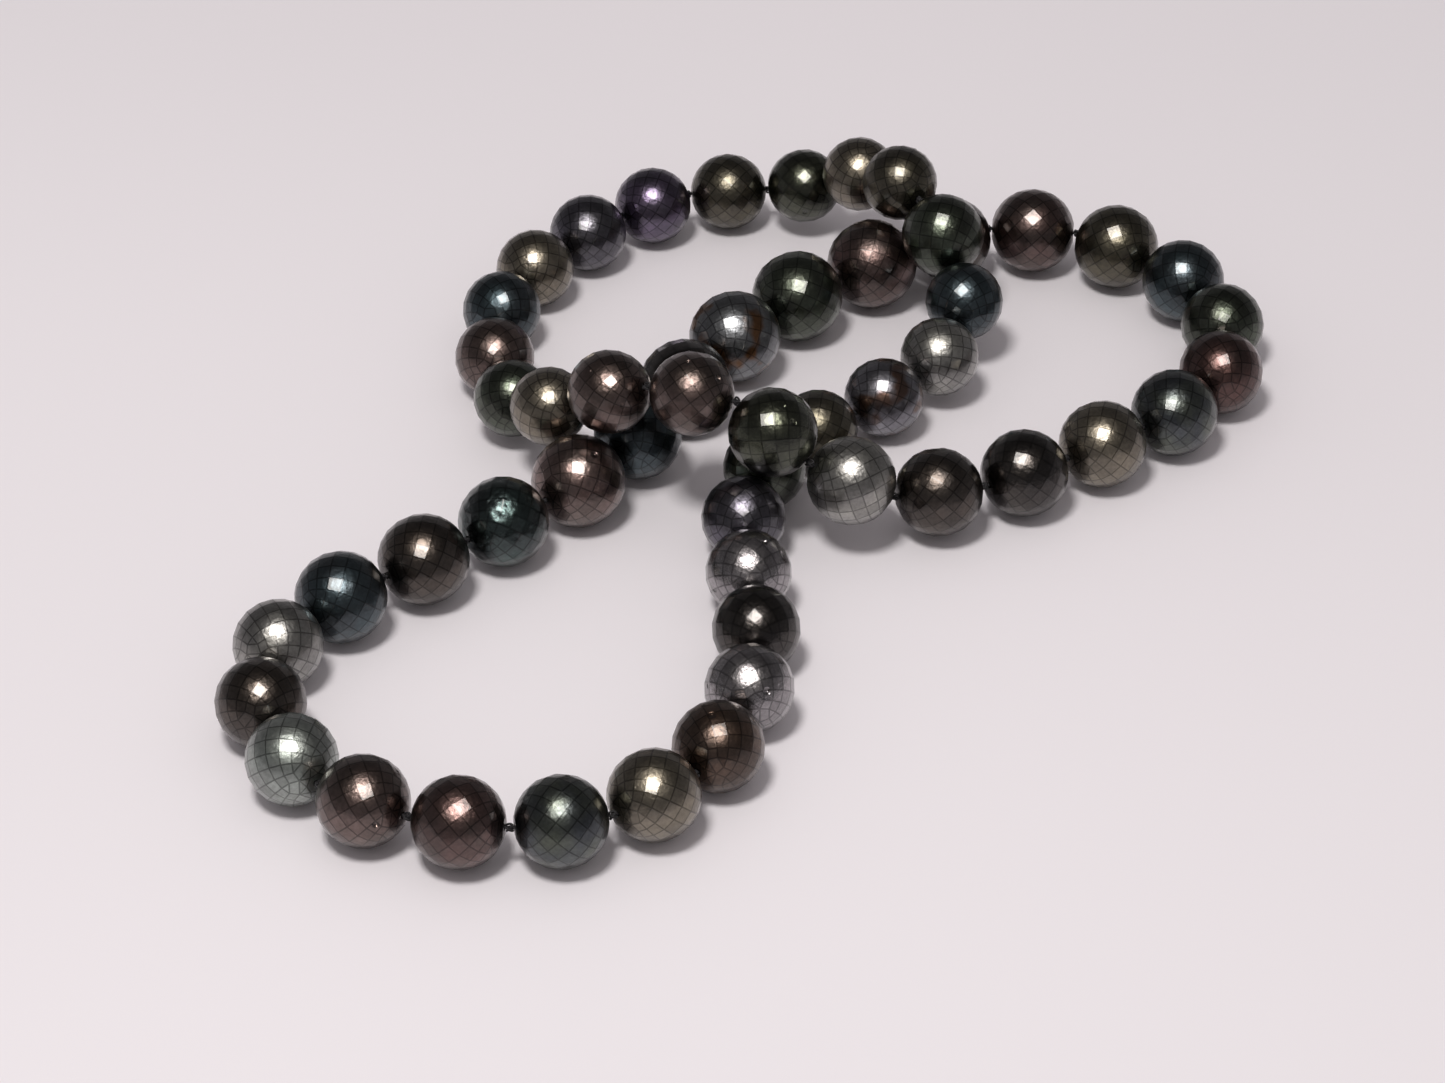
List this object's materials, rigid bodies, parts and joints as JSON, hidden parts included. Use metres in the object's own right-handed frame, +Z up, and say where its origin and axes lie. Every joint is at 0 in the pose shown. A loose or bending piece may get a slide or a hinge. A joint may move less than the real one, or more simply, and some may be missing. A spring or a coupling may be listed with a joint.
{
  "type": "pearl necklace",
  "caption": "Endless knotted strand of graduated faceted dark pearls on black silk, laid down as a long loop that crosses itself in two low arches.",
  "frame": {"origin": "middle of the ground area that the strand covers, on the ground", "axes": "+Z up, +Y away from the viewer along the longest extent, +X to the right"},
  "size_m": [0.143, 0.161, 0.0256],
  "materials": {
    "nacre_rose_grey": "polished",
    "nacre_peacock": "polished",
    "nacre_black": "polished",
    "nacre_night_blue": "polished",
    "nacre_silver": "polished",
    "nacre_olive_brown": "polished",
    "nacre_aubergine": "polished",
    "nacre_green": "polished",
    "nacre_charcoal": "polished",
    "silk": "satin"
  },
  "bodies": {
    "crossing": {"silk_crossing": "silk"},
    "front_base": {"silk_front_base": "silk"},
    "front_middle": {"silk_front_middle": "silk"},
    "front_tip": {"silk_front_tip": "silk"},
    "right_base": {"silk_right_base": "silk"},
    "right_tip": {"silk_right_tip": "silk"},
    "left_base": {"silk_left_base": "silk"},
    "left_tip": {"silk_left_tip": "silk"},
    "pearl_01": {"pearl_01": "nacre_rose_grey"},
    "pearl_02": {"pearl_02": "nacre_peacock"},
    "pearl_03": {"pearl_03": "nacre_black"},
    "pearl_04": {"pearl_04": "nacre_night_blue"},
    "pearl_05": {"pearl_05": "nacre_silver"},
    "pearl_06": {"pearl_06": "nacre_olive_brown"},
    "pearl_07": {"pearl_07": "nacre_silver"},
    "pearl_08": {"pearl_08": "nacre_aubergine"},
    "pearl_09": {"pearl_09": "nacre_aubergine"},
    "pearl_10": {"pearl_10": "nacre_peacock"},
    "pearl_11": {"pearl_11": "nacre_green"},
    "pearl_12": {"pearl_12": "nacre_olive_brown"},
    "pearl_13": {"pearl_13": "nacre_silver"},
    "pearl_14": {"pearl_14": "nacre_black"},
    "pearl_15": {"pearl_15": "nacre_silver"},
    "pearl_16": {"pearl_16": "nacre_charcoal"},
    "pearl_17": {"pearl_17": "nacre_green"},
    "pearl_18": {"pearl_18": "nacre_olive_brown"},
    "pearl_19": {"pearl_19": "nacre_charcoal"},
    "pearl_20": {"pearl_20": "nacre_silver"},
    "pearl_21": {"pearl_21": "nacre_night_blue"},
    "pearl_22": {"pearl_22": "nacre_green"},
    "pearl_23": {"pearl_23": "nacre_olive_brown"},
    "pearl_24": {"pearl_24": "nacre_olive_brown"},
    "pearl_25": {"pearl_25": "nacre_green"},
    "pearl_26": {"pearl_26": "nacre_olive_brown"},
    "pearl_27": {"pearl_27": "nacre_aubergine"},
    "pearl_28": {"pearl_28": "nacre_charcoal"},
    "pearl_29": {"pearl_29": "nacre_olive_brown"},
    "pearl_30": {"pearl_30": "nacre_night_blue"},
    "pearl_31": {"pearl_31": "nacre_rose_grey"},
    "pearl_32": {"pearl_32": "nacre_green"},
    "pearl_33": {"pearl_33": "nacre_olive_brown"},
    "pearl_34": {"pearl_34": "nacre_aubergine"},
    "pearl_35": {"pearl_35": "nacre_aubergine"},
    "pearl_36": {"pearl_36": "nacre_green"},
    "pearl_37": {"pearl_37": "nacre_silver"},
    "pearl_38": {"pearl_38": "nacre_black"},
    "pearl_39": {"pearl_39": "nacre_black"},
    "pearl_40": {"pearl_40": "nacre_silver"},
    "pearl_41": {"pearl_41": "nacre_peacock"},
    "pearl_42": {"pearl_42": "nacre_aubergine"},
    "pearl_43": {"pearl_43": "nacre_green"},
    "pearl_44": {"pearl_44": "nacre_peacock"},
    "pearl_45": {"pearl_45": "nacre_olive_brown"},
    "pearl_46": {"pearl_46": "nacre_aubergine"},
    "pearl_47": {"pearl_47": "nacre_black"},
    "pearl_48": {"pearl_48": "nacre_aubergine"},
    "pearl_49": {"pearl_49": "nacre_black"},
    "pearl_50": {"pearl_50": "nacre_silver"},
    "pearl_51": {"pearl_51": "nacre_black"},
    "pearl_52": {"pearl_52": "nacre_night_blue"}
  },
  "joints": [
    {"name": "fold_front_base", "type": "hinge", "parent": "crossing", "child": "front_base", "pos_m": [-0.01735, -0.01134, 0.00622], "axis": [-0.9486, 0.3158, 0.0192], "range_deg": [0, 40]},
    {"name": "fold_front_middle", "type": "hinge", "parent": "front_base", "child": "front_middle", "pos_m": [-0.02674, -0.03249, 0.0062], "axis": [-0.9448, 0.3277, 0.0057], "range_deg": [0, 40]},
    {"name": "fold_front_tip", "type": "hinge", "parent": "front_middle", "child": "front_tip", "pos_m": [-0.03716, -0.06102, 0.00615], "axis": [-0.9886, 0.1506, 0], "range_deg": [0, 30]},
    {"name": "fold_right_base", "type": "hinge", "parent": "crossing", "child": "right_base", "pos_m": [0.03778, 0.02971, 0.00631], "axis": [-0.2517, -0.9678, -0.0012], "range_deg": [0, 24]},
    {"name": "fold_right_tip", "type": "hinge", "parent": "right_base", "child": "right_tip", "pos_m": [0.05446, 0.03289, 0.00625], "axis": [-0.1246, -0.9922, 0], "range_deg": [0, 40]},
    {"name": "fold_left_base", "type": "hinge", "parent": "crossing", "child": "left_base", "pos_m": [-0.02489, 0.04883, 0.00583], "axis": [0.4663, 0.8846, 0.0006], "range_deg": [0, 45]},
    {"name": "fold_left_tip", "type": "hinge", "parent": "left_base", "child": "left_tip", "pos_m": [-0.0308, 0.05168, 0.00585], "axis": [0.4848, 0.8746, 0], "range_deg": [0, 45]},
    {"name": "spin_pearl_01", "type": "hinge", "parent": "crossing", "child": "pearl_01", "pos_m": [-0.02612, -0.00174, 0.0065], "axis": [-0.6854, -0.7281, 0], "continuous": true},
    {"name": "spin_pearl_02", "type": "hinge", "parent": "front_base", "child": "pearl_02", "pos_m": [-0.03598, -0.0112, 0.00643], "axis": [-0.7577, -0.6525, -0.0112], "continuous": true},
    {"name": "spin_pearl_03", "type": "hinge", "parent": "front_base", "child": "pearl_03", "pos_m": [-0.04632, -0.01972, 0.00635], "axis": [-0.7851, -0.6193, 0], "continuous": true},
    {"name": "spin_pearl_04", "type": "hinge", "parent": "front_middle", "child": "pearl_04", "pos_m": [-0.05678, -0.02808, 0.0063], "axis": [-0.7774, -0.6289, -0.0075], "continuous": true},
    {"name": "spin_pearl_05", "type": "hinge", "parent": "front_middle", "child": "pearl_05", "pos_m": [-0.06428, -0.03824, 0.0062], "axis": [-0.3594, -0.9332, -0.0078], "continuous": true},
    {"name": "spin_pearl_06", "type": "hinge", "parent": "front_middle", "child": "pearl_06", "pos_m": [-0.06551, -0.05053, 0.00615], "axis": [0.1651, -0.9863, 0], "continuous": true},
    {"name": "spin_pearl_07", "type": "hinge", "parent": "front_tip", "child": "pearl_07", "pos_m": [-0.06063, -0.06206, 0.00615], "axis": [0.592, -0.8059, 0], "continuous": true},
    {"name": "spin_pearl_08", "type": "hinge", "parent": "front_tip", "child": "pearl_08", "pos_m": [-0.05112, -0.07034, 0.00615], "axis": [0.8795, -0.476, 0], "continuous": true},
    {"name": "spin_pearl_09", "type": "hinge", "parent": "front_tip", "child": "pearl_09", "pos_m": [-0.03905, -0.0745, 0.00615], "axis": [0.986, -0.1668, 0], "continuous": true},
    {"name": "spin_pearl_10", "type": "hinge", "parent": "front_tip", "child": "pearl_10", "pos_m": [-0.02634, -0.07438, 0.00615], "axis": [0.9825, 0.1863, 0], "continuous": true},
    {"name": "spin_pearl_11", "type": "hinge", "parent": "front_tip", "child": "pearl_11", "pos_m": [-0.01494, -0.06917, 0.00615], "axis": [0.7851, 0.6194, 0], "continuous": true},
    {"name": "spin_pearl_12", "type": "hinge", "parent": "front_middle", "child": "pearl_12", "pos_m": [-0.00694, -0.05944, 0.00613], "axis": [0.4549, 0.8905, -0.0039], "continuous": true},
    {"name": "spin_pearl_13", "type": "hinge", "parent": "front_middle", "child": "pearl_13", "pos_m": [-0.00296, -0.04741, 0.00607], "axis": [0.1659, 0.9861, -0.0039], "continuous": true},
    {"name": "spin_pearl_14", "type": "hinge", "parent": "front_base", "child": "pearl_14", "pos_m": [-0.00197, -0.03471, 0.00602], "axis": [-0.0123, 0.9999, -0.0039], "continuous": true},
    {"name": "spin_pearl_15", "type": "hinge", "parent": "front_base", "child": "pearl_15", "pos_m": [-0.00293, -0.02208, 0.00598], "axis": [-0.139, 0.9903, -0.004], "continuous": true},
    {"name": "spin_pearl_16", "type": "hinge", "parent": "crossing", "child": "pearl_16", "pos_m": [-0.00354, -0.00963, 0.00595], "axis": [0.0426, 0.9991, 0], "continuous": true},
    {"name": "spin_pearl_17", "type": "hinge", "parent": "crossing", "child": "pearl_17", "pos_m": [-0.00058, 0.00225, 0.0059], "axis": [0.43, 0.9028, -0.008], "continuous": true},
    {"name": "spin_pearl_18", "type": "hinge", "parent": "crossing", "child": "pearl_18", "pos_m": [0.00689, 0.01167, 0.0058], "axis": [0.7852, 0.6191, -0.0082], "continuous": true},
    {"name": "spin_pearl_19", "type": "hinge", "parent": "crossing", "child": "pearl_19", "pos_m": [0.01628, 0.01937, 0.00596], "axis": [0.7603, 0.6487, 0.035], "continuous": true},
    {"name": "spin_pearl_20", "type": "hinge", "parent": "crossing", "child": "pearl_20", "pos_m": [0.02442, 0.02814, 0.00703], "axis": [0.5834, 0.7998, 0.1409], "continuous": true},
    {"name": "spin_pearl_21", "type": "hinge", "parent": "crossing", "child": "pearl_21", "pos_m": [0.02831, 0.03879, 0.00946], "axis": [0.0618, 0.9629, 0.2626], "continuous": true},
    {"name": "spin_pearl_22", "type": "hinge", "parent": "crossing", "child": "pearl_22", "pos_m": [0.02553, 0.04932, 0.01407], "axis": [-0.4918, 0.7329, 0.4702], "continuous": true},
    {"name": "spin_pearl_23", "type": "hinge", "parent": "crossing", "child": "pearl_23", "pos_m": [0.01955, 0.05923, 0.01688], "axis": [-0.4768, 0.8783, -0.0363], "continuous": true},
    {"name": "spin_pearl_24", "type": "hinge", "parent": "crossing", "child": "pearl_24", "pos_m": [0.01394, 0.06813, 0.01296], "axis": [-0.4691, 0.6244, -0.6246], "continuous": true},
    {"name": "spin_pearl_25", "type": "hinge", "parent": "crossing", "child": "pearl_25", "pos_m": [0.00588, 0.0737, 0.00751], "axis": [-0.8997, 0.3184, -0.2988], "continuous": true},
    {"name": "spin_pearl_26", "type": "hinge", "parent": "crossing", "child": "pearl_26", "pos_m": [-0.00551, 0.0748, 0.0058], "axis": [-0.9919, -0.1267, 0.0081], "continuous": true},
    {"name": "spin_pearl_27", "type": "hinge", "parent": "left_base", "child": "pearl_27", "pos_m": [-0.01684, 0.07073, 0.00585], "axis": [-0.8466, -0.5322, 0], "continuous": true},
    {"name": "spin_pearl_28", "type": "hinge", "parent": "left_tip", "child": "pearl_28", "pos_m": [-0.02636, 0.063, 0.00585], "axis": [-0.6957, -0.7183, 0], "continuous": true},
    {"name": "spin_pearl_29", "type": "hinge", "parent": "left_tip", "child": "pearl_29", "pos_m": [-0.03389, 0.05328, 0.00585], "axis": [-0.5204, -0.8539, 0], "continuous": true},
    {"name": "spin_pearl_30", "type": "hinge", "parent": "left_tip", "child": "pearl_30", "pos_m": [-0.03832, 0.04196, 0.00585], "axis": [-0.1971, -0.9804, 0], "continuous": true},
    {"name": "spin_pearl_31", "type": "hinge", "parent": "left_base", "child": "pearl_31", "pos_m": [-0.03885, 0.02978, 0.00583], "axis": [0.111, -0.9938, -0.0029], "continuous": true},
    {"name": "spin_pearl_32", "type": "hinge", "parent": "crossing", "child": "pearl_32", "pos_m": [-0.03589, 0.01821, 0.00662], "axis": [0.3828, -0.9139, 0.1354], "continuous": true},
    {"name": "spin_pearl_33", "type": "hinge", "parent": "crossing", "child": "pearl_33", "pos_m": [-0.03035, 0.00948, 0.01121], "axis": [0.5448, -0.5507, 0.6324], "continuous": true},
    {"name": "spin_pearl_34", "type": "hinge", "parent": "crossing", "child": "pearl_34", "pos_m": [-0.02182, 0.0038, 0.01746], "axis": [0.8386, -0.3786, 0.3918], "continuous": true},
    {"name": "spin_pearl_35", "type": "hinge", "parent": "crossing", "child": "pearl_35", "pos_m": [-0.01054, -0.00028, 0.01991], "axis": [0.9621, -0.2725, -0.0019], "continuous": true},
    {"name": "spin_pearl_36", "type": "hinge", "parent": "crossing", "child": "pearl_36", "pos_m": [0.00039, -0.00478, 0.01669], "axis": [0.7571, -0.4303, -0.4916], "continuous": true},
    {"name": "spin_pearl_37", "type": "hinge", "parent": "crossing", "child": "pearl_37", "pos_m": [0.01106, -0.00712, 0.01036], "axis": [0.8754, 0.0712, -0.4781], "continuous": true},
    {"name": "spin_pearl_38", "type": "hinge", "parent": "crossing", "child": "pearl_38", "pos_m": [0.02305, -0.00475, 0.00675], "axis": [0.9541, 0.2902, -0.0735], "continuous": true},
    {"name": "spin_pearl_39", "type": "hinge", "parent": "right_base", "child": "pearl_39", "pos_m": [0.035, 0.00048, 0.00626], "axis": [0.8633, 0.5048, -0.0013], "continuous": true},
    {"name": "spin_pearl_40", "type": "hinge", "parent": "right_base", "child": "pearl_40", "pos_m": [0.0462, 0.00742, 0.00625], "axis": [0.836, 0.5487, 0], "continuous": true},
    {"name": "spin_pearl_41", "type": "hinge", "parent": "right_tip", "child": "pearl_41", "pos_m": [0.05676, 0.01522, 0.00622], "axis": [0.7703, 0.6376, -0.0038], "continuous": true},
    {"name": "spin_pearl_42", "type": "hinge", "parent": "right_tip", "child": "pearl_42", "pos_m": [0.06417, 0.02539, 0.00617], "axis": [0.3673, 0.9301, -0.0039], "continuous": true},
    {"name": "spin_pearl_43", "type": "hinge", "parent": "right_tip", "child": "pearl_43", "pos_m": [0.06551, 0.03771, 0.00615], "axis": [-0.162, 0.9868, 0], "continuous": true},
    {"name": "spin_pearl_44", "type": "hinge", "parent": "right_tip", "child": "pearl_44", "pos_m": [0.06084, 0.04938, 0.0062], "axis": [-0.5616, 0.8273, 0.0077], "continuous": true},
    {"name": "spin_pearl_45", "type": "hinge", "parent": "right_base", "child": "pearl_45", "pos_m": [0.05173, 0.05849, 0.0063], "axis": [-0.8242, 0.5663, 0.0075], "continuous": true},
    {"name": "spin_pearl_46", "type": "hinge", "parent": "crossing", "child": "pearl_46", "pos_m": [0.03964, 0.06286, 0.00635], "axis": [-0.9958, 0.0911, 0], "continuous": true},
    {"name": "spin_pearl_47", "type": "hinge", "parent": "crossing", "child": "pearl_47", "pos_m": [0.02713, 0.06045, 0.00645], "axis": [-0.8897, -0.4563, 0.0151], "continuous": true},
    {"name": "spin_pearl_48", "type": "hinge", "parent": "crossing", "child": "pearl_48", "pos_m": [0.01553, 0.0532, 0.00665], "axis": [-0.8036, -0.595, 0.0141], "continuous": true},
    {"name": "spin_pearl_49", "type": "hinge", "parent": "crossing", "child": "pearl_49", "pos_m": [0.00447, 0.04434, 0.00675], "axis": [-0.7566, -0.6539, 0], "continuous": true},
    {"name": "spin_pearl_50", "type": "hinge", "parent": "crossing", "child": "pearl_50", "pos_m": [-0.00466, 0.03371, 0.00675], "axis": [-0.5314, -0.8471, 0], "continuous": true},
    {"name": "spin_pearl_51", "type": "hinge", "parent": "crossing", "child": "pearl_51", "pos_m": [-0.01168, 0.0214, 0.00665], "axis": [-0.4589, -0.8884, -0.0141], "continuous": true},
    {"name": "spin_pearl_52", "type": "hinge", "parent": "crossing", "child": "pearl_52", "pos_m": [-0.01813, 0.00922, 0.00653], "axis": [-0.4777, -0.8785, -0.0037], "continuous": true}
  ]
}
